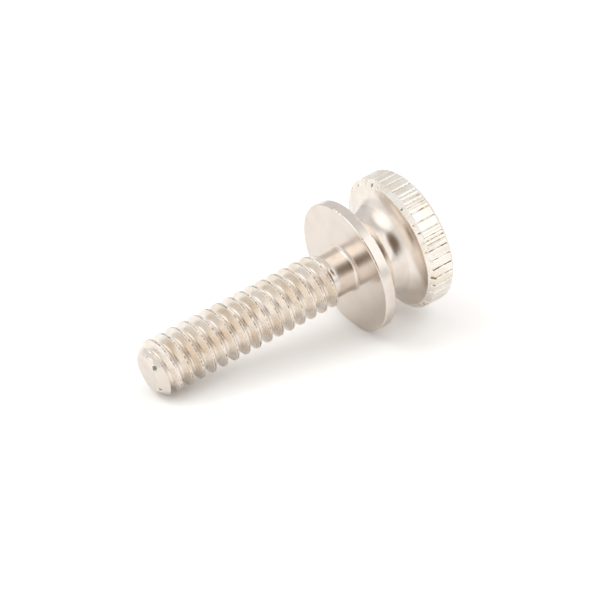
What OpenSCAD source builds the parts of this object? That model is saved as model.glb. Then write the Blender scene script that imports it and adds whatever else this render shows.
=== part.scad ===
// Thumb screw: a knurled head, a coved neck and a collar, turned in one piece with a 10-24 UNC
// right-hand thread. It lies as it comes to rest, on the rim of the collar and on the last full
// thread at the tip, so the head end stands a little higher.
//
// Every sub-part is drawn upright about its own axis first: z = 0 is the clamping face of the
// collar, the shank runs to -z and the head to +z. lay_down() then tips the screw over. The
// origin is on the surface that it rests on, under the middle of the screw. Millimetres.

/* [Thread] */
// Major diameter, over the crests
thread_d = 4.70; // [4.62:0.01:4.80]
// Threads in 25.4 mm
threads_per_inch = 24; // [20:1:32]
// Depth of the thread from crest to root
thread_depth = 0.62; // [0.4:0.01:0.7]
// Width of the flat on the crest
crest_w = 0.18; // [0.1:0.01:0.25]
// Width of the flat at the root
root_w = 0.16; // [0.1:0.01:0.25]
// Where a crest crosses the underside at the clamping face, in turns
thread_phase = 0.92; // [0:0.01:1]
// Flats in one turn of the thread
thread_steps = 30; // [16:2:36]

/* [Shank] */
// Length of the shank from the clamping face to the tip
shank_l = 18.85; // [12:0.05:30]
// Diameter of the plain shank between the collar and the thread
plain_d = 3.74; // [3.6:0.01:3.9]
// Length of the plain shank
plain_l = 2.1; // [1.8:0.1:4]
// Radius of the fillet where the shank meets the collar
root_fillet = 0.28; // [0.1:0.01:0.4]
// Height of the chamfer at the tip
tip_chamfer = 0.85; // [0.5:0.05:1]

/* [Collar] */
// Diameter of the collar
collar_d = 11.3; // [9:0.1:13]
// Thickness of the collar
collar_t = 1.0; // [0.8:0.05:2]
// Radius of the round edge on both rims of the collar
collar_round = 0.13; // [0.08:0.01:0.3]

/* [Neck] */
// Radius of the cove between the collar and the head
cove_r = 1.76; // [1.74:0.01:1.9]
// Height of the middle of the cove over the clamping face
cove_z = 2.66; // [2.6:0.01:2.7]
// Diameter of the neck at its narrowest
neck_d = 7.28; // [7:0.02:7.6]

/* [Head] */
// Diameter over the knurl
head_d = 11.7; // [10:0.1:14]
// Diameter of the lip, where the cove ends and the front bevel starts
lip_d = 10.68; // [10.4:0.02:10.7]
// Height at which the front bevel reaches the full diameter
knurl_start = 4.78; // [4.6:0.02:5]
// Height at which the knurl ends at the top chamfer
knurl_end = 6.5; // [5.8:0.05:8]
// Chamfer round the flat top
top_chamfer = 0.35; // [0.2:0.05:0.5]

/* [Knurl] */
// Number of straight grooves round the head
knurl_count = 43; // [24:1:60]
// Depth of a groove
knurl_depth = 0.17; // [0.1:0.01:0.25]
// Angle between the flanks of a groove
knurl_angle = 90; // [60:5:100]

/* [Hidden] */

$fn = 96;
nickel = [0.80, 0.77, 0.72];
over = 1;
hair = 0.1;

thread_r = thread_d / 2;
plain_r = plain_d / 2;
collar_r = collar_d / 2;
neck_r = neck_d / 2;
head_r = head_d / 2;

// Thread: one turn climbs a pitch, and its profile has four corners
pitch = 25.4 / threads_per_inch;
root_r = thread_r - thread_depth;
profile = [
    [thread_r, -crest_w / 2],
    [thread_r, crest_w / 2],
    [root_r, (pitch - root_w) / 2],
    [root_r, (pitch + root_w) / 2]
];
corners = len(profile);
thread_turns = ceil(shank_l / pitch) + 1;
thread_z0 = -(thread_turns + 1 - thread_phase) * pitch;
tip_r = thread_r - tip_chamfer;

// Cove: where its circle meets the collar's back face and the head's lip
cove_c = neck_r + cove_r;
cove_collar_r = cove_c - sqrt(pow(cove_r, 2) - pow(cove_z - collar_t, 2));
lip_r = lip_d / 2;
lip_z = cove_z + sqrt(pow(cove_r, 2) - pow(cove_c - lip_r, 2));
top_z = knurl_end + top_chamfer;
top_r = head_r - top_chamfer;

// Rest: the round edge of the collar's front rim and the last crest touch the surface, the crest
// at its far edge or where the tip's chamfer cuts it off
full_l = shank_l - tip_chamfer;
last_turn = floor((full_l + crest_w / 2) / pitch - 1 + thread_phase);
crest_end = (last_turn + 1 - thread_phase) * pitch + crest_w / 2;
contact_z = -min(crest_end, full_l);
rim_out = collar_r - collar_round - thread_r;
rim_on = collar_round - contact_z;
rest_tilt = atan(rim_out / rim_on) + asin(collar_round / norm([rim_out, rim_on]));
rest_h = thread_r * cos(rest_tilt) - contact_z * sin(rest_tilt);
far_x = top_z * cos(rest_tilt) + top_r * sin(rest_tilt);
near_x = -shank_l * cos(rest_tilt) - tip_r * sin(rest_tilt);

// Tips the upright screw over onto its collar and its thread
module lay_down() {
    translate([-(far_x + near_x) / 2, 0, rest_h])
        rotate([0, 90 - rest_tilt, 0])
            children();
}

// Corner j of the thread's profile after k steps round the axis
function thread_point(k, j) = [
    profile[j][0] * cos(360 * k / thread_steps),
    profile[j][0] * sin(360 * k / thread_steps),
    thread_z0 + pitch * k / thread_steps + profile[j][1]
];

// A right-hand ridge that climbs from under the tip to over the plain shank. Each turn's root
// is closed against the next turn's crest, and both ends are closed by a fan round the axis.
module thread_ridge() {
    steps = thread_steps * thread_turns;
    last = steps - thread_steps;
    foot = (steps + 1) * corners;
    head = foot + 1;
    function at(k, j) = k * corners + j;
    points = concat(
        [for (k = [0:steps], j = [0:corners - 1]) thread_point(k, j)],
        [[0, 0, thread_z0 + pitch / 2], [0, 0, thread_z0 + pitch * (thread_turns + 0.5)]]
    );
    flanks = [
        for (k = [0:steps - 1], j = [0:corners - 2])
            each [
                [at(k, j), at(k + 1, j + 1), at(k + 1, j)],
                [at(k, j), at(k, j + 1), at(k + 1, j + 1)]
            ]
    ];
    seams = [
        for (k = [0:last - 1])
            each [
                [at(k, 3), at(k + thread_steps + 1, 0), at(k + 1, 3)],
                [at(k, 3), at(k + thread_steps, 0), at(k + thread_steps + 1, 0)]
            ]
    ];
    foot_loop = concat(
        [for (k = [0:thread_steps]) at(k, 0)],
        [for (j = [corners - 1:-1:1]) at(0, j)]
    );
    head_loop = concat(
        [for (k = [last:steps]) at(k, corners - 1)],
        [for (j = [corners - 2:-1:0]) at(steps, j)]
    );
    foot_fan = [
        for (i = [0:len(foot_loop) - 1])
            [foot, foot_loop[i], foot_loop[(i + 1) % len(foot_loop)]]
    ];
    head_fan = [
        for (i = [0:len(head_loop) - 1])
            [head, head_loop[(i + 1) % len(head_loop)], head_loop[i]]
    ];
    polyhedron(points, concat(flanks, seams, foot_fan, head_fan), convexity = 10);
}

// What the thread is cut back to: the flat tip with its chamfer, and the run-out cone that
// takes the last crest down to the plain shank
module thread_blank() {
    blank_r = thread_r + hair;
    end_r = root_r - hair;
    rotate_extrude()
        polygon([
            [0, -shank_l],
            [tip_r, -shank_l],
            [blank_r, -shank_l + blank_r - tip_r],
            [blank_r, -plain_l + plain_r - blank_r + 0.3],
            [end_r, -plain_l + plain_r - end_r + 0.3],
            [0, -plain_l + plain_r - end_r + 0.3]
        ]);
}

module threaded_shank() {
    color(nickel)
        intersection() {
            thread_ridge();
            thread_blank();
        }
}

// Plain shank: it starts inside the thread and flares into the collar by a round fillet
module plain_shank() {
    core_r = root_r - hair;
    color(nickel)
        rotate_extrude()
            difference() {
                polygon([
                    [0, -plain_l - plain_r + core_r],
                    [core_r, -plain_l - plain_r + core_r],
                    [plain_r, -plain_l],
                    [plain_r, -root_fillet],
                    [plain_r + root_fillet, 0],
                    [plain_r + root_fillet, hair],
                    [0, hair]
                ]);
                translate([plain_r + root_fillet, -root_fillet])
                    circle(root_fillet);
            }
}

// Collar: a disc whose two rims are quarter rounds
module collar() {
    color(nickel)
        rotate_extrude() {
            square([collar_r - collar_round, collar_t]);
            translate([0, collar_round])
                square([collar_r, collar_t - 2 * collar_round]);
            for (z = [collar_round, collar_t - collar_round])
                translate([collar_r - collar_round, z])
                    circle(collar_round);
        }
}

// Neck and head in one outline: the cove is a true arc, and the bevel runs from its lip. The
// outline runs on inside the arc's circle at both ends, so that the arc cuts it cleanly.
module head_blank() {
    inside_lip = [lip_r, lip_z] - 0.5 * ([head_r, knurl_start] - [lip_r, lip_z]);
    rotate(180 / knurl_count)
        rotate_extrude()
            difference() {
                polygon([
                    [0, collar_t],
                    [cove_collar_r + hair, collar_t],
                    inside_lip,
                    [head_r, knurl_start],
                    [head_r, knurl_end],
                    [top_r, top_z],
                    [0, top_z]
                ]);
                translate([cove_c, cove_z])
                    circle(cove_r);
            }
}

// The section of all the grooves: points inwards, and open past the head's rim
module knurl_grooves() {
    half_w = (knurl_depth + hair) * tan(knurl_angle / 2);
    for (i = [0:knurl_count - 1])
        rotate(i * 360 / knurl_count)
            polygon([
                [head_r - knurl_depth, 0],
                [head_r + hair, -half_w],
                [head_r + hair, half_w]
            ]);
}

module knurled_head() {
    color(nickel)
        difference() {
            head_blank();
            translate([0, 0, lip_z - over])
                linear_extrude(top_z - lip_z + 2 * over)
                    knurl_grooves();
        }
}

module thumb_screw() {
    lay_down() {
        threaded_shank();
        plain_shank();
        collar();
        knurled_head();
    }
}

thumb_screw();
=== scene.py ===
"""Looks of the thumb screw: a finer mesh of the same form, its nickel plate and a small studio.

Every part of the screw is first drawn upright about its own axis in millimetres: z = 0 is the
clamping face of the collar, the shank runs to -z and the head to +z. ``Lay`` then tips it over
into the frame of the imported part, in metres, onto its collar and its last thread.
"""

import logging
import math
import random
from dataclasses import dataclass, field
from enum import Enum

import bmesh
import bpy
from mathutils import Matrix, Vector, kdtree, noise


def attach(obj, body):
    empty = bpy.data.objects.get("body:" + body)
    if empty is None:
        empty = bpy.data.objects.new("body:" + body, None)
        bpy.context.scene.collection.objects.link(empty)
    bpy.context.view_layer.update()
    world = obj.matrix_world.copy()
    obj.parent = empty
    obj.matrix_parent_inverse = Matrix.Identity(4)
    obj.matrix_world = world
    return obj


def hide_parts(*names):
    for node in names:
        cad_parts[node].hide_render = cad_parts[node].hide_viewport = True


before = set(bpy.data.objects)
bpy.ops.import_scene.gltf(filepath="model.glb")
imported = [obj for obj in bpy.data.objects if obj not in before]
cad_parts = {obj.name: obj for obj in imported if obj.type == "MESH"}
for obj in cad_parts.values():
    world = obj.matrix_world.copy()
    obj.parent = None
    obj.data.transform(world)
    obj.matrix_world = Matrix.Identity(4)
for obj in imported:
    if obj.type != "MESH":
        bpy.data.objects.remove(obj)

LOG = logging.getLogger("thumb_screw")
MM = 0.001
NODE = "thumb_screw"
PRESSED = "pressed"

# How near a point is, in mm, to count as being on a part of the outline
NEAR = 0.01
# Nearly all of a noise texture lies between these
NOISE_LOW, NOISE_HIGH = 0.3, 0.7

Profile = list[tuple[float, float]]


class Skin(Enum):
    """Which finish a face of the screw takes. The value is its material slot on the mesh."""

    TURNED = 0
    ROLLED = 1
    KNURLED = 2
    FACED = 3
    CREST = 4
    LIP = 5


def linear(colour: str) -> tuple[float, float, float, float]:
    """Turns an sRGB hex colour into linear light.

    Args:
        colour: Six hex digits after a hash sign.

    Returns:
        Red, green, blue and an alpha of 1.
    """
    parts = (int(colour[i:i + 2], 16) / 255 for i in (1, 3, 5))
    red, green, blue = (
        c / 12.92 if c <= 0.04045 else ((c + 0.055) / 1.055) ** 2.4 for c in parts
    )
    return (red, green, blue, 1.0)


def add_node(
    tree: bpy.types.NodeTree,
    kind: str,
    links: dict[str | int, object] | None = None,
    **settings: object,
) -> bpy.types.Node:
    """Adds one node with its settings and its links.

    Args:
        tree: The node tree that takes the node.
        kind: The node's Blender type name.
        links: Input name or index to an output socket, or to a plain value.
        settings: Attributes of the node itself.

    Returns:
        The new node.
    """
    node = tree.nodes.new(kind)
    for name, value in settings.items():
        setattr(node, name, value)
    for key, value in (links or {}).items():
        if isinstance(value, bpy.types.NodeSocket):
            tree.links.new(value, node.inputs[key])
        else:
            node.inputs[key].default_value = value
    return node


@dataclass(frozen=True)
class Lay:
    """How the upright screw comes to lie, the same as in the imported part."""

    collar_r: float = 5.65
    collar_round: float = 0.13
    thread_r: float = 2.35
    contact_z: float = -18.0
    top_z: float = 6.85
    top_r: float = 5.5
    tip_z: float = -18.85
    tip_r: float = 1.5

    @property
    def tilt(self) -> float:
        """Angle of the axis over the surface, where the collar's rim and the thread both touch.

        Returns:
            The angle in radians.
        """
        rim_out = self.collar_r - self.collar_round - self.thread_r
        rim_on = self.collar_round - self.contact_z
        return math.atan(rim_out / rim_on) + math.asin(self.collar_round / math.hypot(rim_out, rim_on))

    def matrix(self) -> Matrix:
        """Lays the upright screw down and centres its box.

        Returns:
            The move from upright millimetres to the part's frame in metres.
        """
        cos, sin = math.cos(self.tilt), math.sin(self.tilt)
        far_x = self.top_z * cos + self.top_r * sin
        near_x = self.tip_z * cos - self.tip_r * sin
        rest_h = self.thread_r * cos - self.contact_z * sin
        turn = Matrix.Rotation(math.pi / 2 - self.tilt, 4, "Y")
        shift = Matrix.Translation((-(far_x + near_x) / 2, 0, rest_h))
        return Matrix.Scale(MM, 4) @ shift @ turn


def smooth_min(first: float, second: float, blend: float) -> float:
    """Gives the smaller of two heights, with their crossing rounded over ``blend``."""
    mix = max(0.0, min(1.0, 0.5 + 0.5 * (second - first) / blend))
    return second * (1 - mix) + first * mix - blend * mix * (1 - mix)


def arc(centre: tuple[float, float], radius: float, start: float, end: float, steps: int) -> Profile:
    """Draws an arc of a turned outline.

    Args:
        centre: Height along the axis and distance from it, in mm.
        radius: Radius of the arc in mm.
        start: First angle in degrees, from the +z direction towards +r.
        end: Last angle in degrees.
        steps: Number of chords.

    Returns:
        Points of height and radius.
    """
    angles = (math.radians(start + (end - start) * i / steps) for i in range(steps + 1))
    return [(centre[0] + radius * math.cos(a), centre[1] + radius * math.sin(a)) for a in angles]


def between(first: tuple[float, float], last: tuple[float, float], shares: list[float]) -> Profile:
    """Puts points between two points of an outline.

    Args:
        first: Radius and height of the first point.
        last: Radius and height of the last point.
        shares: How far along the way each new point lies, from 0 to 1.

    Returns:
        The new points, without the two given ones.
    """
    return [
        (first[0] + (last[0] - first[0]) * s, first[1] + (last[1] - first[1]) * s) for s in shares
    ]


def face_outwards(mesh: bmesh.types.BMesh) -> None:
    """Turns every face of a closed mesh to the outside.

    Args:
        mesh: The mesh. Its volume tells whether the faces all point inwards.
    """
    bmesh.ops.recalc_face_normals(mesh, faces=mesh.faces[:])
    if mesh.calc_volume(signed=True) < 0:
        bmesh.ops.reverse_faces(mesh, faces=mesh.faces[:])


@dataclass(frozen=True)
class Dent:
    """A small knock or pit: where it is on the upright screw, its radius and depth, all in mm.

    ``painted_shade`` is the share of its depth that counts towards the painted shade laid in it.
    """

    place: tuple[float, float, float]
    radius: float
    depth: float
    painted_shade: float = 1.0

    def depth_at(self, point: Vector) -> float:
        """Gives how far the dent pushes a surface point into the metal, in mm."""
        reach = (point - Vector(self.place)).length / self.radius
        return self.depth * (1 - reach * reach) ** 2 if reach < 1 else 0.0


@dataclass
class RolledThread:
    """The 10-24 thread: its flanks, the seam that rolling leaves on the crest, both ends.

    Lengths are in mm. ``uneven`` holds the scale and the height of each layer of the crest's
    unevenness, ``uneven_step`` how far its pattern moves on with each turn, round the axis and
    across the section, and ``uneven_reach`` how many crest widths out it dies away. The
    burnished finish goes ``crest_reach`` times as far out as the crest's lips. Within
    ``face_margin`` of the tip's flat, out and up, a knock pushes along the axis.
    """

    radius: float = 2.35
    depth: float = 0.62
    threads_per_inch: int = 24
    phase: float = 0.92
    crest_w: float = 0.18
    root_w: float = 0.16
    seam_depth: float = 0.05
    lip_at: float = 0.088
    tip_z: float = -18.85
    tip_r: float = 1.5
    tip_round: float = 0.12
    runout_z: float = -1.8
    runout_r: float = 1.87
    stem_r: float = 0.3
    steps: int = 108
    cut_blend: float = 0.05
    cut_slack: float = 0.02
    flat_slack: float = 0.03
    chamfer_reach: float = 1.0
    face_margin: tuple[float, float] = (0.35, 0.3)
    uneven_step: tuple[float, float, float] = (3.1, 2.2, 0.37)
    uneven: tuple[tuple[float, float], ...] = ((2.6, 0.014), (9.0, 0.012))
    uneven_reach: float = 0.9
    crest_reach: float = 1.2
    weld: float = 0.0005
    dents: list[Dent] = field(default_factory=list)

    @property
    def pitch(self) -> float:
        """Distance from one crest to the next, in mm."""
        return 25.4 / self.threads_per_inch

    @property
    def turns(self) -> int:
        """Number of turns, from under the tip to over the plain shank."""
        return math.ceil(-self.tip_z / self.pitch) + 1

    @property
    def start(self) -> float:
        """Height at which the winding starts, in mm."""
        return -(self.turns + 1 - self.phase) * self.pitch

    def profile(self) -> Profile:
        """Gives one pitch of the section, from the middle of a crest to the next one.

        Returns:
            Points of distance along the axis and radius, in mm.
        """
        half_crest = self.crest_w / 2
        flank_end = (self.pitch - self.root_w) / 2
        root_r = self.radius - self.depth
        run = flank_end - half_crest
        seam, lip = self.seam_depth, self.lip_at
        side: Profile = [
            (0.0, self.radius - seam),
            (lip * 0.40, self.radius - seam * 0.95),
            (lip * 0.66, self.radius - seam * 0.45),
            (lip * 0.84, self.radius - seam * 0.08),
            (lip, self.radius),
            (lip * 1.16, self.radius - seam * 0.12),
            (lip * 1.34, self.radius - seam * 0.52),
        ]
        side += [
            (half_crest + run * s, self.radius - self.depth * s) for s in (0.16, 0.34, 0.57, 0.78)
        ]
        side += [
            (half_crest + run * 0.93, root_r + self.depth * 0.085),
            (flank_end + self.root_w * 0.12, root_r + 0.012),
            (self.pitch / 2, root_r),
        ]
        mirrored = [(self.pitch - u, r) for u, r in reversed(side[1:-1])]
        return side + mirrored

    def surface(self, angle: float, z: float, ridge: float) -> tuple[Vector, float]:
        """Places a thread point, cut back to the tip's chamfer and to the run-out.

        Args:
            angle: Angle round the axis in radians.
            z: Height along the axis in mm.
            ridge: Radius of the thread's own section there in mm.

        Returns:
            The point, and how deep it lies in knocks that take painted shade, both in mm.
        """
        tip_cone = self.tip_r + (z - self.tip_z)
        runout_cone = self.runout_r + (self.runout_z - z)
        radius = smooth_min(ridge, tip_cone, self.cut_blend)
        radius = smooth_min(radius, runout_cone, self.cut_blend)
        height = z
        if z < self.tip_z + self.tip_round:
            height = -smooth_min(-z, -self.tip_z, self.tip_round)
        radius = max(radius, self.stem_r if z > self.runout_z else 0.0)
        point = Vector((radius * math.cos(angle), radius * math.sin(angle), height))
        inward = Vector((-math.cos(angle), -math.sin(angle), 0))
        out, up = self.face_margin
        if radius < self.tip_r + out and z < self.tip_z + up:
            inward = Vector((0, 0, 1))
        depths = [dent.depth_at(point) for dent in self.dents]
        shaded_depth = sum(depth * dent.painted_shade for depth, dent in zip(depths, self.dents))
        return point + inward * sum(depths), shaded_depth

    def wobble(self, angle: float, turn: float, place: int) -> float:
        """Gives the small unevenness of the rolled crest, in mm.

        Args:
            angle: Angle round the axis in radians.
            turn: Turns from the start.
            place: Number of the section's point, counted from the crest.

        Returns:
            How far the point stands out.
        """
        per_turn, around, across = self.uneven_step
        where = Vector((
            turn * per_turn + math.cos(angle) * around, math.sin(angle) * around, place * across,
        ))
        return sum(noise.noise(where * scale) * height for scale, height in self.uneven)

    def row(self, mesh: bmesh.types.BMesh, profile: Profile, k: int) -> list[bmesh.types.BMVert]:
        """Adds the points of one section of the thread.

        Args:
            mesh: The mesh that takes them.
            profile: The section.
            k: Number of steps round the axis from the start.

        Returns:
            The points, from the middle of a crest to just before the next one.
        """
        pressed = mesh.verts.layers.float[PRESSED]
        angle = 2 * math.pi * k / self.steps
        base = self.start + self.pitch * k / self.steps
        made = []
        for j, (along, ridge) in enumerate(profile):
            from_crest = min(along, self.pitch - along)
            near_crest = max(0.0, 1 - from_crest / (self.crest_w * self.uneven_reach))
            uneven = self.wobble(angle, k / self.steps, min(j, len(profile) - j)) * near_crest
            point, shaded_depth = self.surface(angle, base + along, ridge + uneven)
            vert = mesh.verts.new(point)
            uncut = math.hypot(point.x, point.y) > ridge + uneven - self.cut_slack
            # The seam between the crest's lips counts as pressed in, so the plate paints shade along it
            in_seam = from_crest < self.lip_at and uncut
            vert[pressed] = shaded_depth + (self.radius - ridge - uneven if in_seam else 0.0)
            made.append(vert)
        return made

    def build(self) -> bmesh.types.BMesh:
        """Winds the section up the shank as one closed mesh.

        Returns:
            The mesh in upright millimetres.
        """
        profile = self.profile()
        mesh = bmesh.new()
        mesh.verts.layers.float.new(PRESSED)
        total = self.steps * self.turns
        rows = [self.row(mesh, profile, k) for k in range(total + 1)]
        for k in range(total):
            for j in range(len(profile) - 1):
                face = mesh.faces.new((
                    rows[k][j], rows[k + 1][j], rows[k + 1][j + 1], rows[k][j + 1],
                ))
                from_crest = min(profile[j][0], self.pitch - profile[j + 1][0])
                face.material_index = self.skin_of(face, from_crest).value
        for k in range(total - self.steps):
            face = mesh.faces.new((
                rows[k][-1], rows[k + 1][-1],
                rows[k + self.steps + 1][0], rows[k + self.steps][0],
            ))
            face.material_index = self.skin_of(face, 0.0).value
        foot = [rows[k][0] for k in range(self.steps + 1)] + rows[0][:0:-1]
        head = [rows[k][-1] for k in range(total - self.steps, total + 1)] + rows[-1][-2::-1]
        self.fan(mesh, foot, self.tip_z, False)
        self.fan(mesh, head, self.start + self.pitch * (self.turns + 0.5), True)
        bmesh.ops.remove_doubles(mesh, verts=mesh.verts[:], dist=self.weld)
        bmesh.ops.dissolve_degenerate(mesh, edges=mesh.edges[:], dist=self.weld)
        face_outwards(mesh)
        return mesh

    def skin_of(self, face: bmesh.types.BMFace, from_crest: float) -> Skin:
        """Tells which finish a face of the thread has.

        Args:
            face: The face.
            from_crest: Distance along the axis from the middle of the crest, in mm.

        Returns:
            Faced at the tip, burnished on the crest, and rolled elsewhere.
        """
        middle = face.calc_center_median()
        from_cone = math.hypot(middle.x, middle.y) - (self.tip_r + middle.z - self.tip_z)
        on_flat = middle.z < self.tip_z + self.flat_slack
        on_chamfer = middle.z < self.tip_z + self.chamfer_reach and from_cone > -self.cut_slack
        if on_flat or on_chamfer:
            return Skin.FACED
        return Skin.CREST if from_crest < self.lip_at * self.crest_reach else Skin.ROLLED

    @staticmethod
    def fan(mesh: bmesh.types.BMesh, loop: list[bmesh.types.BMVert], z: float, flip: bool) -> None:
        """Closes one end of the thread with triangles round a point of the axis.

        Args:
            mesh: The mesh that takes them.
            loop: The open end's points in order.
            z: Height of the point on the axis in mm.
            flip: Whether the triangles face up.
        """
        centre = mesh.verts.new((0, 0, z))
        for i, vert in enumerate(loop):
            after = loop[(i + 1) % len(loop)]
            mesh.faces.new((centre, after, vert) if flip else (centre, vert, after))


@dataclass(frozen=True)
class Groove:
    """One groove of the knurl. The angle is in radians and the lengths are in mm.

    ``second`` holds the depths of the two fine lines that the wheel leaves on the land after
    it, and the pit is where the groove breaks out through the bevel.
    """

    angle: float
    depth: float
    half_width: float
    lip: float
    second: tuple[float, ...]
    pit_z: float
    pit_radius: float
    pit_depth: float

    def pit_at(self, z: float, off: float) -> float:
        """Gives how deep the pit is at a height and a distance round the rim, in mm."""
        reach = math.hypot(z - self.pit_z, off) / self.pit_radius
        return self.pit_depth * (1 - reach * reach) ** 2 if reach < 1 else 0.0


@dataclass(frozen=True)
class Column:
    """One column of the knurl's mesh: its angle, how much it is lowered in mm, and its groove."""

    angle: float
    lowered: float
    groove: Groove


@dataclass
class TurnedHead:
    """Plain shank, collar, cove, bevel and knurled head: one turned outline.

    Lengths are in mm. A groove's section is given as shares of its half width and of its depth.
    The ``_draw`` fields are the ranges that each groove's and each nick's own values are drawn
    from, and the ``_noise`` fields hold a scale and a height.
    """

    plain_z: float = -2.1
    plain_r: float = 1.87
    core_r: float = 1.6
    root_fillet: float = 0.28
    collar_r: float = 5.65
    collar_t: float = 1.0
    collar_round: float = 0.13
    cove_r: float = 1.76
    cove_z: float = 2.66
    neck_r: float = 3.64
    lip_r: float = 5.34
    head_r: float = 5.85
    knurl_start: float = 4.78
    knurl_end: float = 6.5
    top_chamfer: float = 0.35
    top_round: float = 0.09
    knurl_count: int = 43
    knurl_depth: float = 0.17
    groove_section: tuple[tuple[float, float], ...] = ((0.3, 0.86), (0.75, 0.34), (1.15, 0.04))
    groove_lip_at: float = 1.9
    spacing_draw: tuple[float, float] = (-0.05, 0.05)
    depth_draw: tuple[float, float] = (0.5, 1.0)
    half_width_draw: tuple[float, float] = (0.065, 0.12)
    lip_draw: tuple[float, float] = (0.002, 0.014)
    pit_z_draw: tuple[float, float] = (-0.04, 0.12)
    pit_radius_draw: tuple[float, float] = (0.11, 0.22)
    pit_depth_draw: tuple[float, float] = (0.02, 0.17)
    struck_twice: tuple[tuple[float, float], ...] = ((-163.0, -147.0), (-130.0, -112.0))
    second_at: tuple[float, float] = (0.37, 0.63)
    second_half_width: float = 0.04
    second_once: float = 0.03
    second_twice: float = 0.13
    second_draw: tuple[tuple[float, float], ...] = ((0.35, 1.0), (0.2, 1.0))
    land_worn: float = 0.02
    land_fade: float = 0.12
    land_noise: tuple[float, float] = (1.7, 0.012)
    groove_noise: tuple[float, float] = (3.0, 0.07)
    groove_blend: float = 0.01
    pit_noise: tuple[float, float] = (5.0, 0.06)
    cut_margin: float = 0.1
    coarse_stride: int = 4
    fine_rim: float = 0.08
    fine_top: float = 0.12
    bright_neck_z: tuple[float, float] = (1.6, 3.55)
    nicks_per_rim: int = 46
    nick_inset: float = 0.02
    nick_radius_draw: tuple[float, float] = (0.08, 0.17)
    nick_depth_draw: tuple[float, float] = (0.02, 0.09)
    seed: int = 7

    @property
    def lip_z(self) -> float:
        """Height at which the cove ends at the head's lip, in mm."""
        return self.cove_z + math.sqrt(self.cove_r ** 2 - (self.neck_r + self.cove_r - self.lip_r) ** 2)

    @property
    def top_r(self) -> float:
        """Radius of the flat top, in mm."""
        return self.head_r - self.top_chamfer

    def outline(self) -> list[tuple[float, float, Skin]]:
        """Gives the turned outline from inside the thread to the middle of the top.

        Returns:
            Points of height, radius and the finish of the band that starts there.
        """
        cove_c, lip_z = self.neck_r + self.cove_r, self.lip_z
        collar_end = math.degrees(math.acos((self.collar_t - self.cove_z) / self.cove_r))
        lip_end = math.degrees(math.acos((lip_z - self.cove_z) / self.cove_r))
        edge, fillet = self.collar_round, self.root_fillet
        top_z, top_r = self.knurl_end + self.top_chamfer, self.top_r
        soft = self.top_round

        plain: Profile = [(self.plain_z - self.plain_r + self.core_r, self.core_r)]
        plain += [(self.plain_z, self.plain_r), (self.plain_z + 0.02, self.plain_r)]
        plain += between((self.plain_z, self.plain_r), (-fillet, self.plain_r), [0.5, 0.97])
        plain += arc((-fillet, self.plain_r + fillet), fillet, -90, 0, 8)
        face_in, face_out = (0.0, self.plain_r + fillet), (0.0, self.collar_r - edge)
        face: Profile = between(face_in, face_out, [0.01, 0.35, 0.7, 0.93, 0.985])
        rim: Profile = arc((edge, self.collar_r - edge), edge, 180, 90, 4)
        rim += between((edge, self.collar_r), (self.collar_t - edge, self.collar_r), [0.04, 0.5, 0.96])
        rim += arc((self.collar_t - edge, self.collar_r - edge), edge, 90, 0, 4)
        cove = arc((self.cove_z, cove_c), self.cove_r, -collar_end, -lip_end, 30)
        foot_z, lip_from = self.bright_neck_z
        cove_foot = [point for point in cove if point[0] < foot_z]
        cove_neck = [point for point in cove if foot_z <= point[0] < lip_from]
        cove_lip = [point for point in cove if point[0] >= lip_from]
        bevel = between((lip_z, self.lip_r), (self.knurl_start, self.head_r),
                        [0.03, 0.12, 0.22, 0.32, 0.42, 0.52, 0.62, 0.72, 0.83, 0.94])
        knurl = between((self.knurl_start, self.head_r), (self.knurl_end, self.head_r),
                        [0.0, 0.03, 0.12, 0.24, 0.36, 0.48, 0.6, 0.72, 0.85, 0.97])
        chamfer = between((self.knurl_end, self.head_r), (top_z, top_r),
                          [0.0, 0.06, 0.2, 0.35, 0.5, 0.7, 0.88])
        edge_of_top: Profile = arc((top_z - soft, top_r - soft * 0.4), soft, 45, 0, 3)
        top = between((top_z, top_r - soft * 0.5), (top_z, 0), [0.06, 0.4, 0.75, 0.95])
        bands = [(plain, Skin.TURNED), (face, Skin.FACED), (rim, Skin.TURNED),
                 (cove_foot, Skin.FACED), (cove_neck, Skin.TURNED), (cove_lip, Skin.LIP),
                 (bevel, Skin.KNURLED), (knurl, Skin.KNURLED), (chamfer, Skin.TURNED),
                 (edge_of_top, Skin.TURNED), (top, Skin.FACED)]
        return [(z, r, skin) for band, skin in bands for z, r in band]

    def grooves(self) -> list[Groove]:
        """Draws the grooves, each a little different, as a worn knurling wheel presses them.

        Returns:
            The grooves in order round the head.
        """
        rng = random.Random(self.seed)
        bevel_rise = (self.knurl_start - self.lip_z) * self.knurl_depth / (self.head_r - self.lip_r)
        breakout = self.knurl_start - bevel_rise
        found = []
        for i in range(self.knurl_count):
            angle = 2 * math.pi * (i + rng.uniform(*self.spacing_draw)) / self.knurl_count
            degrees = (math.degrees(angle) + 180) % 360 - 180
            twice = any(low < degrees < high for low, high in self.struck_twice)
            deepest = self.second_twice if twice else self.second_once
            found.append(Groove(
                angle=angle,
                depth=self.knurl_depth * rng.uniform(*self.depth_draw),
                half_width=rng.uniform(*self.half_width_draw),
                lip=rng.uniform(*self.lip_draw),
                second=tuple(deepest * rng.uniform(*draw) for draw in self.second_draw),
                pit_z=breakout - rng.uniform(*self.pit_z_draw),
                pit_radius=rng.uniform(*self.pit_radius_draw),
                pit_depth=rng.uniform(*self.pit_depth_draw),
            ))
        return found

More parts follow.
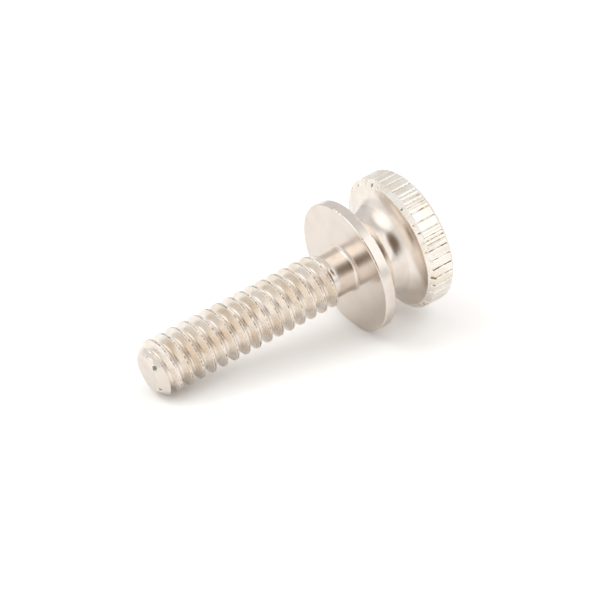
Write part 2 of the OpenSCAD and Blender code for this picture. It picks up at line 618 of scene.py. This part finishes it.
    def nicks(self) -> list[Dent]:
        """Scatters the small nicks that handling leaves along both rims of the collar.

        Returns:
            The nicks.
        """
        rng = random.Random(self.seed + 1)
        found = []
        for z in (self.nick_inset, self.collar_t - self.nick_inset):
            for _ in range(self.nicks_per_rim):
                angle = rng.uniform(0, 2 * math.pi)
                found.append(Dent(
                    place=(self.collar_r * math.cos(angle), self.collar_r * math.sin(angle), z),
                    radius=rng.uniform(*self.nick_radius_draw),
                    depth=rng.uniform(*self.nick_depth_draw),
                ))
        return found

    def half_groove(self, groove: Groove) -> Profile:
        """Gives one side of a groove, out to the edge that the wheel raised.

        Args:
            groove: The groove.

        Returns:
            Distances round the rim and how much the surface is lowered there, in mm.
        """
        side = [(share * groove.half_width, groove.depth * low) for share, low in self.groove_section]
        return side + [(self.groove_lip_at * groove.half_width, -groove.lip)]

    def fine_line(self, angle: float, depth: float, groove: Groove) -> list[Column]:
        """Gives the columns of a fine line that the wheel left on a land.

        Args:
            angle: Angle round the axis in radians.
            depth: How deep the line is in mm.
            groove: The groove before it.

        Returns:
            One column on each side of the line and one along it.
        """
        half = self.second_half_width / self.head_r
        shape = ((-half, 0.0), (0.0, depth), (half, 0.0))
        return [Column(angle + off, low, groove) for off, low in shape]

    def columns(self) -> list[Column]:
        """Gives the mesh's columns round the head: a groove, its land and two fine lines on it.

        Returns:
            The columns in order, the same number for every groove.
        """
        found = []
        grooves = self.grooves()
        to_angle = 1 / self.head_r
        for groove, after in zip(grooves, grooves[1:] + grooves[:1]):
            span = (after.angle - groove.angle) % (2 * math.pi)
            end = groove.angle + span
            first, last = (groove.angle + span * share for share in self.second_at)
            found.append(Column(groove.angle, groove.depth, groove))
            for off, low in self.half_groove(groove):
                found.append(Column(groove.angle + off * to_angle, low, groove))
            found += self.fine_line(first, groove.second[0], groove)
            found.append(Column(groove.angle + span * 0.5, 0.0, groove))
            found += self.fine_line(last, groove.second[1], groove)
            for off, low in reversed(self.half_groove(after)):
                found.append(Column(end - off * to_angle, low, after))
        return found

    def radius_at(self, z: float, r: float, column: Column) -> float:
        """Cuts the knurl into one point of the outline.

        Args:
            z: Height of the point in mm.
            r: Radius of the plain outline there.
            column: The mesh column that the point is in.

        Returns:
            The radius in mm.
        """
        if z < self.lip_z - self.cut_margin:
            return r
        where = Vector((math.cos(column.angle) * self.head_r, math.sin(column.angle) * self.head_r, z))
        scale, height = self.pit_noise
        off = math.remainder(column.angle - column.groove.angle, 2 * math.pi) * self.head_r
        pit = column.groove.pit_at(z, off + noise.noise(where * scale) * height)
        if column.lowered <= 0:
            scale, height = self.land_noise
            on_rim = max(0.0, 1 - (self.head_r - r) / self.land_fade)
            uneven = noise.noise(where * scale) * height - self.land_worn
            return r + on_rim * (uneven - column.lowered) - pit
        scale, height = self.groove_noise
        ragged = noise.noise(where * scale) * height
        cut = self.head_r - max(0.0, column.lowered * (1 + ragged / self.knurl_depth))
        return smooth_min(r - self.land_worn, cut, self.groove_blend) - pit

    def ring(
        self, mesh: bmesh.types.BMesh, z: float, r: float, columns: list[Column], nicks: list[Dent],
    ) -> list[bmesh.types.BMVert]:
        """Adds one ring of the outline. Smooth stretches have only some of the columns.

        Args:
            mesh: The mesh that takes it.
            z: Height of the ring in mm.
            r: Radius of the plain outline there.
            columns: All the columns round the head.
            nicks: The nicks in the collar's rims.

        Returns:
            The ring's points.
        """
        pressed = mesh.verts.layers.float[PRESSED]
        on_rim = z < self.collar_t + NEAR and r > self.collar_r - self.collar_round - self.fine_rim
        on_knurl = z > self.lip_z - NEAR and r > self.top_r - self.fine_top
        made = []
        for column in columns[::1 if on_rim or on_knurl else self.coarse_stride]:
            way = Vector((math.cos(column.angle), math.sin(column.angle), 0))
            up = Vector((0, 0, z))
            radius = self.radius_at(z, r, column)
            if on_rim:
                share = max(0.0, 1 - (self.collar_r - r) / self.collar_round)
                radius -= share * max(nick.depth_at(way * radius + up) for nick in nicks)
            vert = mesh.verts.new(way * radius + up)
            # Depth under the outline: the plate paints shade in the knurl's grooves, pits and fine lines
            # and in the rims' nicks
            vert[pressed] = max(0.0, r - radius - self.land_worn)
            made.append(vert)
        return made

    def build(self) -> bmesh.types.BMesh:
        """Turns the outline round the axis as one closed mesh.

        Returns:
            The mesh in upright millimetres.
        """
        mesh = bmesh.new()
        mesh.verts.layers.float.new(PRESSED)
        outline, columns, nicks = self.outline(), self.columns(), self.nicks()
        rings = [self.ring(mesh, z, r, columns, nicks) for z, r, _ in outline]
        for (lower, upper), (_, _, skin) in zip(zip(rings, rings[1:]), outline):
            for face in self.band(mesh, lower, upper):
                face.material_index = skin.value
        for ring, z in ((rings[0], outline[0][0]), (rings[-1], outline[-1][0])):
            centre = mesh.verts.new((0, 0, z))
            for i in range(len(ring)):
                face = mesh.faces.new((centre, ring[i], ring[(i + 1) % len(ring)]))
                face.material_index = Skin.FACED.value
        face_outwards(mesh)
        return mesh

    @staticmethod
    def band(
        mesh: bmesh.types.BMesh, lower: list[bmesh.types.BMVert], upper: list[bmesh.types.BMVert],
    ) -> list[bmesh.types.BMFace]:
        """Joins two rings, where one may have a whole number of times more points.

        Args:
            mesh: The mesh that takes the faces.
            lower: One ring.
            upper: The next ring.

        Returns:
            The faces.
        """
        count = min(len(lower), len(upper))
        low_step, up_step = len(lower) // count, len(upper) // count
        made = []
        for i in range(count):
            below = [lower[(i * low_step + k) % len(lower)] for k in range(low_step + 1)]
            above = [upper[(i * up_step + k) % len(upper)] for k in range(up_step + 1)]
            made.append(mesh.faces.new(below + above[::-1]))
        return made


@dataclass(frozen=True)
class NickelPlate:
    """Bright nickel plate on steel. The tone is a warm silver, mirror-like where it is smooth.

    Nickel follows the surface below it, so what the cutter, the thread rolls or the knurling
    wheel left shows through it as fine lines or a satin grain. ``colour`` and ``worn`` are the
    clean and the handled plate, and ``shade_colour`` is painted shade: a darker colour laid in
    what is pressed in deeper than ``shade_from_mm``.
    """

    name: str
    colour: str
    worn: str
    shade_colour: str
    shade_from_mm: float
    roughness: float
    rough_spread: float
    mark_every_mm: float
    mark_height_mm: float
    grain_mm: float
    grain_height_mm: float
    shade_spots_mm: float = 0.2
    shade_ragged_mm: float = 0.025
    shade_edge_mm: float = 0.05
    clouds_per_mm: float = 0.55
    cloud_from: float = 0.42
    cloud_full: float = 0.66
    lay: Lay = field(default_factory=Lay)

    def upright(self, tree: bpy.types.NodeTree) -> tuple[bpy.types.NodeSocket, ...]:
        """Adds the nodes that read a point in upright millimetres about the screw's axis.

        Args:
            tree: The material's node tree.

        Returns:
            Sockets of the point, its distance from the axis and its height.
        """
        # A Mapping node scales, then turns, then moves, which is what the matrix comes apart into
        back = self.lay.matrix().inverted()
        where = add_node(tree, "ShaderNodeTexCoord").outputs["Object"]
        mapped = add_node(tree, "ShaderNodeMapping", {
            "Vector": where,
            "Location": back.to_translation(),
            "Rotation": back.to_euler(),
            "Scale": back.to_scale(),
        }).outputs["Vector"]
        parts = add_node(tree, "ShaderNodeSeparateXYZ", {"Vector": mapped})
        flat = add_node(tree, "ShaderNodeCombineXYZ", {"X": parts.outputs["X"], "Y": parts.outputs["Y"]})
        radius = add_node(tree, "ShaderNodeVectorMath", {0: flat.outputs["Vector"]}, operation="LENGTH")
        return mapped, radius.outputs["Value"], parts.outputs["Z"]

    def build(self) -> bpy.types.Material:
        """Builds the node material.

        Returns:
            The material.
        """
        material = bpy.data.materials.new(self.name)
        material.use_nodes = True
        tree = material.node_tree
        tree.nodes.clear()
        point, radius, height = self.upright(tree)

        # Turning or rolling marks run round the axis: one line for each feed of the tool
        feed = add_node(tree, "ShaderNodeCombineXYZ", {"X": radius, "Y": height})
        marks = add_node(tree, "ShaderNodeTexNoise", {
            "Vector": feed.outputs["Vector"], "Scale": 1 / self.mark_every_mm,
            "Detail": 2.0, "Roughness": 0.5,
        }, noise_dimensions="2D").outputs["Fac"]
        grain = add_node(tree, "ShaderNodeTexNoise", {
            "Vector": point, "Scale": 1 / self.grain_mm, "Detail": 3.0, "Roughness": 0.55,
        }).outputs["Fac"]
        cloud = add_node(tree, "ShaderNodeTexNoise", {
            "Vector": point, "Scale": self.clouds_per_mm, "Detail": 2.0, "Roughness": 0.5,
        }).outputs["Fac"]

        # Handled plate: faint clouds, about 2 mm across, where it is a shade duller and browner
        tone = add_node(tree, "ShaderNodeMapRange", {
            "Value": cloud, "From Min": self.cloud_from, "From Max": self.cloud_full,
        }, interpolation_type="SMOOTHSTEP").outputs["Result"]
        clouded = add_node(tree, "ShaderNodeMix", {
            "Factor": tone, "A": linear(self.colour), "B": linear(self.worn),
        }, data_type="RGBA")

        # Painted shade: a darker colour laid in what a tool or a knock has pressed in, ragged at its edge
        depth = add_node(tree, "ShaderNodeAttribute", attribute_name=PRESSED).outputs["Fac"]
        spots = add_node(tree, "ShaderNodeTexNoise", {
            "Vector": point, "Scale": 1 / self.shade_spots_mm, "Detail": 1.0, "Roughness": 0.6,
        }).outputs["Fac"]
        ragged = add_node(tree, "ShaderNodeMapRange", {
            "Value": spots, "From Min": NOISE_LOW, "From Max": NOISE_HIGH,
            "To Min": -self.shade_ragged_mm, "To Max": self.shade_ragged_mm,
        }).outputs["Result"]
        ragged_depth = add_node(tree, "ShaderNodeMath", {0: depth, 1: ragged}, operation="ADD").outputs["Value"]
        painted_shade = add_node(tree, "ShaderNodeMapRange", {
            "Value": ragged_depth, "From Min": self.shade_from_mm,
            "From Max": self.shade_from_mm + self.shade_edge_mm,
        }, interpolation_type="SMOOTHSTEP").outputs["Result"]
        colour = add_node(tree, "ShaderNodeMix", {
            "Factor": painted_shade, "A": mix_colour(clouded), "B": linear(self.shade_colour),
        }, data_type="RGBA")
        rough = add_node(tree, "ShaderNodeMapRange", {
            "Value": grain, "From Min": NOISE_LOW, "From Max": NOISE_HIGH,
            "To Min": self.roughness - self.rough_spread,
            "To Max": self.roughness + self.rough_spread,
        }).outputs["Result"]
        marks_bump = add_node(tree, "ShaderNodeBump", {
            "Height": marks, "Strength": 1.0, "Distance": self.mark_height_mm * MM,
        })
        grain_bump = add_node(tree, "ShaderNodeBump", {
            "Height": grain, "Strength": 1.0, "Distance": self.grain_height_mm * MM,
            "Normal": marks_bump.outputs["Normal"],
        })
        shader = add_node(tree, "ShaderNodeBsdfPrincipled", {
            "Metallic": 1.0, "Base Color": mix_colour(colour), "Roughness": rough,
            "Normal": grain_bump.outputs["Normal"],
        })
        add_node(tree, "ShaderNodeOutputMaterial", {"Surface": shader.outputs["BSDF"]})
        return material


def mix_colour(node: bpy.types.Node) -> bpy.types.NodeSocket:
    """Gives the colour output of a Mix node set to colours."""
    return next(o for o in node.outputs if o.type == "RGBA")


# A cutter's real feed is about 0.05 mm, and the grain of the steel under the plate is about
# 0.02 mm. Both are too fine to show where the whole screw is in view, so the marks are drawn
# 0.09 to 0.2 mm apart and the grain 0.12 to 0.16 mm wide, as coarse as they need to be.
FINISHES: dict[Skin, NickelPlate] = {
    # Turned round the axis: tight lines and a soft mirror
    Skin.TURNED: NickelPlate(
        name="bright_nickel_on_turned_steel", colour="#ECE3DA", worn="#E3D8CD",
        shade_colour="#8E8275", shade_from_mm=0.03, roughness=0.13, rough_spread=0.03,
        mark_every_mm=0.09, mark_height_mm=0.0009, grain_mm=0.12, grain_height_mm=0.0006,
    ),
    # Thread flanks, rolled: satin, because the dies press the steel under the plate matt
    Skin.ROLLED: NickelPlate(
        name="satin_nickel_on_rolled_thread", colour="#F8F1E9", worn="#EEE2D4",
        shade_colour="#9A8E81", shade_from_mm=0.04, roughness=0.29, rough_spread=0.05,
        mark_every_mm=0.16, mark_height_mm=0.002, grain_mm=0.14, grain_height_mm=0.004,
    ),
    # Knurl, pressed by a wheel: burnished lands with a fine grain, and painted shade in the grooves
    Skin.KNURLED: NickelPlate(
        name="bright_nickel_on_pressed_knurl", colour="#FEF9F1", worn="#F5ECDF",
        shade_colour="#A08E76", shade_from_mm=0.06, roughness=0.26, rough_spread=0.06,
        mark_every_mm=0.2, mark_height_mm=0.0012, grain_mm=0.16, grain_height_mm=0.004,
    ),
    # Faced across the axis: the tool's scroll of fine lines blurs what is further off
    Skin.FACED: NickelPlate(
        name="soft_nickel_on_faced_steel", colour="#ECE3DA", worn="#E8DED4",
        shade_colour="#8E8275", shade_from_mm=0.04, roughness=0.2, rough_spread=0.03,
        mark_every_mm=0.09, mark_height_mm=0.0006, grain_mm=0.14, grain_height_mm=0.0004,
    ),
    # Cove under the head's lip: the form tool's fine ripple softens the mirror there
    Skin.LIP: NickelPlate(
        name="soft_nickel_on_formed_cove", colour="#F6EEE5", worn="#EDE3D8",
        shade_colour="#8E8275", shade_from_mm=0.04, roughness=0.25, rough_spread=0.02,
        mark_every_mm=0.09, mark_height_mm=0.0006, grain_mm=0.14, grain_height_mm=0.0002,
    ),
    # Thread crest: two lips that the dies push up, burnished bright, with a seam between them that
    # carries painted shade
    Skin.CREST: NickelPlate(
        name="burnished_nickel_on_rolled_crest", colour="#F8EFE5", worn="#EDE2D4",
        shade_colour="#86705A", shade_from_mm=0.032, roughness=0.18, rough_spread=0.06,
        mark_every_mm=0.16, mark_height_mm=0.001, grain_mm=0.12, grain_height_mm=0.006,
    ),
}


@dataclass
class ThumbScrew:
    """The whole screw: its meshes joined to one closed surface, dressed and set on the frame."""

    sharp_deg: float = 41.0
    lay: Lay = field(default_factory=Lay)
    head: TurnedHead = field(default_factory=TurnedHead)
    # On the edge of the tip: a pit, a chipped facet, a nick beside it and a dent further round
    thread: RolledThread = field(default_factory=lambda: RolledThread(dents=[
        # The pit, the nick and the dent take painted shade in their hollows, the chipped facet none
        Dent(place=(-1.08, -1.18, -18.72), radius=0.30, depth=0.22),
        Dent(place=(-1.36, -0.62, -18.80), radius=0.52, depth=0.13, painted_shade=0.0),
        Dent(place=(-1.55, 0.10, -18.75), radius=0.26, depth=0.08, painted_shade=0.7),
        Dent(place=(0.95, -1.30, -18.75), radius=0.30, depth=0.12),
    ]))

    @staticmethod
    def to_object(
        mesh: bmesh.types.BMesh, name: str, plates: list[bpy.types.Material],
    ) -> bpy.types.Object:
        """Makes a scene object of a mesh.

        Args:
            mesh: The mesh, which is used up.
            name: The object's name.
            plates: The materials, in the order of their slots.

        Returns:
            The object.
        """
        data = bpy.data.meshes.new(name)
        mesh.to_mesh(data)
        mesh.free()
        made = bpy.data.objects.new(name, data)
        bpy.context.scene.collection.objects.link(made)
        for plate in plates:
            data.materials.append(plate)
        return made

    @staticmethod
    def marks(*meshes: bpy.types.Mesh) -> tuple[kdtree.KDTree, list[float]]:
        """Reads where each point of the meshes is and how far it is pressed in.

        Args:
            meshes: The meshes, with the attribute of their depths.

        Returns:
            A tree of the places and the list of depths that it points into.
        """
        depths: list[float] = []
        tree = kdtree.KDTree(sum(len(mesh.vertices) for mesh in meshes))
        for mesh in meshes:
            for vert, mark in zip(mesh.vertices, mesh.attributes[PRESSED].data):
                tree.insert(vert.co, len(depths))
                depths.append(mark.value)
        tree.balance()
        return tree, depths

    @staticmethod
    def restore_marks(mesh: bpy.types.Mesh, marks: tuple[kdtree.KDTree, list[float]]) -> None:
        """Writes the depths back by place, because joining meshes loses which point had which.

        Args:
            mesh: The joined mesh.
            marks: What ``marks()`` read from its halves.
        """
        tree, depths = marks
        if PRESSED in mesh.attributes:
            mesh.attributes.remove(mesh.attributes[PRESSED])
        layer = mesh.attributes.new(PRESSED, "FLOAT", "POINT")
        layer.data.foreach_set("value", [depths[tree.find(vert.co)[1]] for vert in mesh.vertices])

    def build(self) -> bpy.types.Object:
        """Joins the thread and the turned head, lays the screw down and dresses it.

        Returns:
            The finished piece.
        """
        plates = [FINISHES[kind].build() for kind in Skin]
        body = self.to_object(self.head.build(), "plated_screw", plates)
        thread = self.to_object(self.thread.build(), "thread_to_join", plates)
        LOG.info("head %d faces, thread %d faces", len(body.data.polygons), len(thread.data.polygons))
        marks = self.marks(body.data, thread.data)
        join = body.modifiers.new("join_thread", "BOOLEAN")
        join.operation = "UNION"
        join.solver = "EXACT"
        join.object = thread
        bpy.context.view_layer.update()
        joined = bpy.data.meshes.new_from_object(
            body.evaluated_get(bpy.context.evaluated_depsgraph_get()))
        body.modifiers.clear()
        body.data = joined
        self.restore_marks(joined, marks)
        bpy.data.objects.remove(thread)
        joined.transform(self.lay.matrix())
        for polygon in joined.polygons:
            polygon.use_smooth = True
        joined.set_sharp_from_angle(angle=math.radians(self.sharp_deg))
        LOG.info("joined screw: %d faces", len(joined.polygons))
        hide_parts(NODE)
        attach(body, "root")
        return body


def direction(azimuth: float, elevation: float) -> Vector:
    """Gives the unit direction from the screw to a place in the studio.

    Args:
        azimuth: Degrees round the screw: 0 is on -Y, 90 on +X.
        elevation: Degrees over the surface.

    Returns:
        The direction in the part's frame.
    """
    a, e = math.radians(azimuth), math.radians(elevation)
    return Vector((math.sin(a) * math.cos(e), -math.cos(a) * math.cos(e), math.sin(e)))


def rays(tree: bpy.types.NodeTree, *kinds: str) -> bpy.types.NodeSocket:
    """Adds nodes that give 1 for the named kinds of ray.

    Args:
        tree: The node tree that takes the nodes.
        kinds: Output names of the Light Path node.

    Returns:
        The socket.
    """
    light = add_node(tree, "ShaderNodeLightPath")
    found = light.outputs[kinds[0]]
    for kind in kinds[1:]:
        either = add_node(tree, "ShaderNodeMath", {0: found, 1: light.outputs[kind]}, operation="MAXIMUM")
        found = either.outputs["Value"]
    return found


@dataclass(frozen=True)
class Panel:
    """A soft-edged patch of the studio's walls: where it is in degrees, and its level.

    It is full within ``inner_deg`` of its middle and gone at ``outer_deg``.
    """

    azimuth: float
    elevation: float
    inner_deg: float
    outer_deg: float
    level: float
    tint: str = "#FFFFFF"

    def light(self) -> tuple[float, float, float, float]:
        """Gives the patch's colour in linear light, at its level."""
        red, green, blue, alpha = linear(self.tint)
        return (red * self.level, green * self.level, blue * self.level, alpha)


@dataclass
class Studio:
    """Camera, pale floor, one lamp, and the walls that light the screw and show in its plate.

    ``camera_at`` and ``camera_aim`` are in mm in the part's frame. Open floor is lifted by
    ``floor_lift`` for the camera and by ``floor_lift_in_metal`` where the plate reflects it.
    """

    camera_at: tuple[float, float, float] = (-76.467, -114.082, 85.118)
    camera_aim: tuple[float, float, float] = (1.877, 0.940, 3.344)
    lens_mm: float = 120.0
    sensor_mm: float = 36.0
    wall_level: float = 0.85
    panels: tuple[Panel, ...] = (
        Panel(164, 13, 5, 40, 0.72),                    # far wall, a little dimmer
        Panel(58, 43, 34, 47, 1.25),                    # broad softbox to the right
        Panel(0, 17, 1, 15, 0.43),                      # table edge under the camera
        Panel(-20, 35, 1, 36, 0.22, tint="#FFE4CB"),    # dim warm room round the lens
        Panel(175, 77, 1, 43, 0.72),                    # ceiling behind, a little dimmer
        Panel(-114, 57, 8, 38, 1.45),                   # softbox to the left
    )
    floor_size_m: float = 1.2
    floor_fade_m: tuple[float, float] = (0.07, 0.2)
    floor_lift: float = 0.22
    floor_lift_in_metal: float = 0.05
    contact_shade_mm: float = 1.5
    lamp_distance_m: float = 0.5

    def camera(self) -> None:
        """Sets up the camera, level, with no shift and no depth of field."""
        data = bpy.data.cameras.new("camera")
        data.lens = self.lens_mm
        data.sensor_width = self.sensor_mm
        data.clip_start = 0.005
        data.clip_end = 10.0
        camera = bpy.data.objects.new("camera", data)
        bpy.context.scene.collection.objects.link(camera)
        place, aim = Vector(self.camera_at) * MM, Vector(self.camera_aim) * MM
        camera.location = place
        camera.rotation_euler = (aim - place).to_track_quat("-Z", "Y").to_euler()
        bpy.context.scene.camera = camera

    def world(self) -> None:
        """Builds the walls: an even pale level with a few soft-edged panels."""
        world = bpy.data.worlds.new("studio_walls")
        world.use_nodes = True
        tree = world.node_tree
        tree.nodes.clear()
        look = add_node(tree, "ShaderNodeTexCoord").outputs["Generated"]
        shown: bpy.types.NodeSocket | tuple = (self.wall_level,) * 3 + (1.0,)
        for panel in self.panels:
            toward = direction(panel.azimuth, panel.elevation)
            dot = add_node(tree, "ShaderNodeVectorMath", {0: look, 1: toward}, operation="DOT_PRODUCT")
            share = add_node(tree, "ShaderNodeMapRange", {
                "Value": dot.outputs["Value"],
                "From Min": math.cos(math.radians(panel.outer_deg)),
                "From Max": math.cos(math.radians(panel.inner_deg)),
            }, interpolation_type="SMOOTHSTEP")
            shown = mix_colour(add_node(tree, "ShaderNodeMix", {
                "Factor": share.outputs["Result"], "A": shown, "B": panel.light(),
            }, data_type="RGBA"))
        plain = add_node(tree, "ShaderNodeBackground", {"Color": linear("#FFFFFF"), "Strength": 1.0})
        walls = add_node(tree, "ShaderNodeBackground", {"Color": shown, "Strength": 1.0})
        both = add_node(tree, "ShaderNodeMixShader", {
            "Fac": rays(tree, "Is Camera Ray", "Is Transmission Ray"),
            1: walls.outputs["Background"], 2: plain.outputs["Background"],
        })
        add_node(tree, "ShaderNodeOutputWorld", {"Surface": both.outputs["Shader"]})
        bpy.context.scene.world = world

    def lamp(self, name: str, azimuth: float, elevation: float, size: float, watts: float) -> None:
        """Hangs a square soft lamp that the plate doesn't reflect.

        Args:
            name: The lamp's name.
            azimuth: Where it is round the screw, in degrees.
            elevation: Where it is over the surface, in degrees.
            size: Side of the lamp in metres.
            watts: Its power.
        """
        data = bpy.data.lights.new(name, "AREA")
        data.shape = "SQUARE"
        data.size = size
        data.energy = watts
        lamp = bpy.data.objects.new(name, data)
        bpy.context.scene.collection.objects.link(lamp)
        toward = direction(azimuth, elevation)
        lamp.location = toward * self.lamp_distance_m
        lamp.rotation_euler = (-toward).to_track_quat("-Z", "Y").to_euler()
        lamp.visible_glossy = False

    def floor(self) -> None:
        """Lays the pale paper floor, which fades to plain white away from the screw."""
        mesh = bmesh.new()
        bmesh.ops.create_grid(mesh, x_segments=8, y_segments=8, size=self.floor_size_m / 2)
        data = bpy.data.meshes.new("paper_floor")
        mesh.to_mesh(data)
        mesh.free()
        floor = bpy.data.objects.new("paper_floor", data)
        bpy.context.scene.collection.objects.link(floor)
        material = bpy.data.materials.new("matt_white_paper")
        material.use_nodes = True
        tree = material.node_tree
        tree.nodes.clear()
        seen = rays(tree, "Is Camera Ray", "Is Glossy Ray", "Is Transmission Ray")

        # Uncoated paper: matt and even, so that it takes a soft shadow and no highlight
        paper = add_node(tree, "ShaderNodeBsdfDiffuse", {"Color": linear("#F4F3F2")})

        # The lift makes open paper white, and dies away where the screw touches the floor
        open_air = add_node(tree, "ShaderNodeAmbientOcclusion", {
            "Distance": self.contact_shade_mm * MM,
        })
        straight = add_node(tree, "ShaderNodeMath", {
            0: rays(tree, "Is Camera Ray", "Is Transmission Ray"), 1: self.floor_lift,
        }, operation="MULTIPLY")
        level = add_node(tree, "ShaderNodeMath", {
            0: rays(tree, "Is Glossy Ray"), 1: self.floor_lift_in_metal, 2: straight.outputs["Value"],
        }, operation="MULTIPLY_ADD")
        seen_lift = add_node(tree, "ShaderNodeMath", {
            0: open_air.outputs["AO"], 1: level.outputs["Value"],
        }, operation="MULTIPLY")
        lift = add_node(tree, "ShaderNodeEmission", {
            "Color": linear("#FFFEFC"), "Strength": seen_lift.outputs["Value"],
        })
        near = add_node(tree, "ShaderNodeAddShader", {
            0: paper.outputs["BSDF"], 1: lift.outputs["Emission"],
        })
        where = add_node(tree, "ShaderNodeTexCoord").outputs["Object"]
        away = add_node(tree, "ShaderNodeVectorMath", {0: where}, operation="LENGTH")
        fade = add_node(tree, "ShaderNodeMapRange", {
            "Value": away.outputs["Value"],
            "From Min": self.floor_fade_m[0], "From Max": self.floor_fade_m[1],
        }, interpolation_type="SMOOTHSTEP")
        white = add_node(tree, "ShaderNodeEmission", {"Color": linear("#FFFFFF"), "Strength": 1.0})
        far = add_node(tree, "ShaderNodeMath", {
            0: fade.outputs["Result"], 1: seen,
        }, operation="MULTIPLY")
        shown = add_node(tree, "ShaderNodeMixShader", {
            "Fac": far.outputs["Value"], 1: near.outputs["Shader"], 2: white.outputs["Emission"],
        })
        add_node(tree, "ShaderNodeOutputMaterial", {"Surface": shown.outputs["Shader"]})
        data.materials.append(material)

    def build(self) -> None:
        """Sets up everything round the screw."""
        self.camera()
        self.world()
        self.floor()
        self.lamp("left_lamp", azimuth=-125, elevation=50, size=0.3, watts=0.6)
        bpy.context.scene.view_settings.view_transform = "Standard"


def main() -> None:
    """Builds the studio and the screw."""
    logging.basicConfig(level=logging.INFO, format="%(name)s: %(message)s")
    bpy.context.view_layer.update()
    Studio().build()
    screw = ThumbScrew().build()
    LOG.info("piece %s on %s", screw.name, NODE)


if __name__ == "__main__":
    main()
